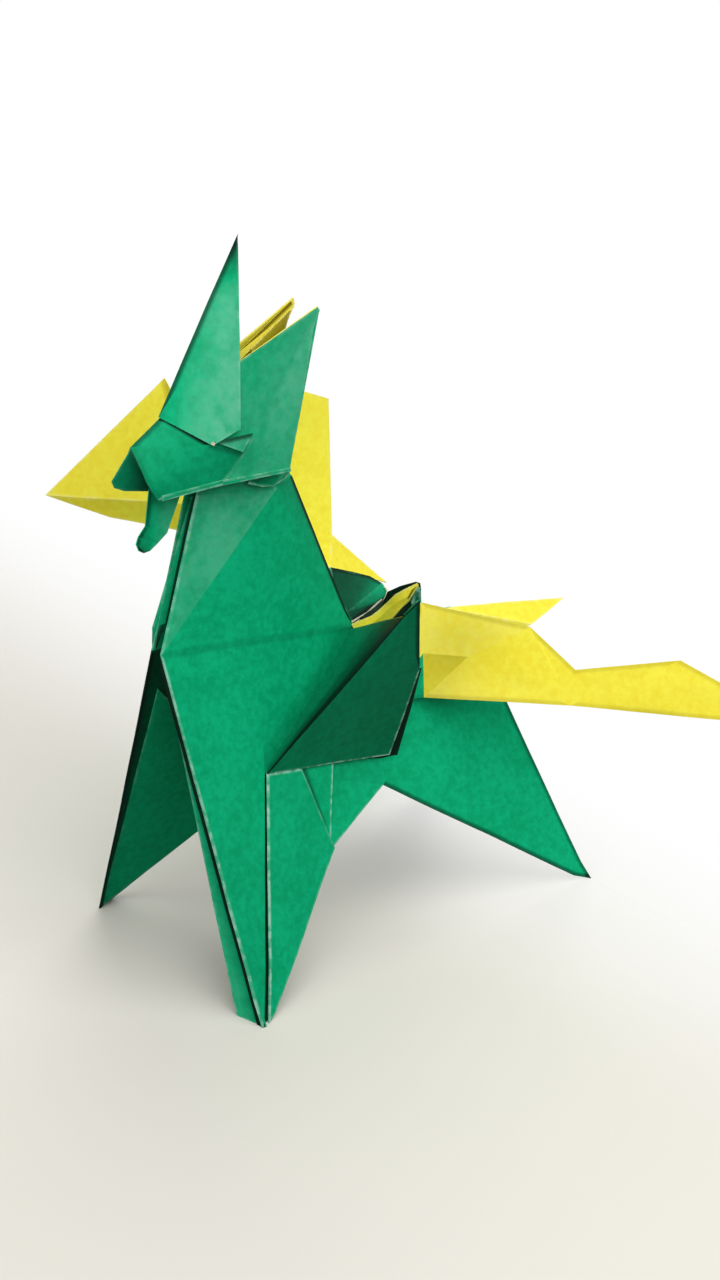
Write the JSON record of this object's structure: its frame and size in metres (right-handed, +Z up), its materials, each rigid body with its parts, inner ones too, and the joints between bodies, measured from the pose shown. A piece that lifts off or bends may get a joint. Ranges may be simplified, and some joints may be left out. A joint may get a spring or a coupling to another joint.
{
  "type": "origami kirin",
  "caption": "Winged, horned origami beast folded from one square two-coloured sheet, standing on four pointed legs.",
  "frame": {"origin": "on the ground, in the middle of the figure's outline seen from above", "axes": "+Z up, -Y the way the figure faces, +X its left side"},
  "size_m": [0.0884, 0.0828, 0.1055],
  "materials": {
    "paper": "matte duo paper, green on one side and yellow on the other"
  },
  "bodies": {
    "root": {"folded_sheet": "paper"}
  },
  "joints": []
}
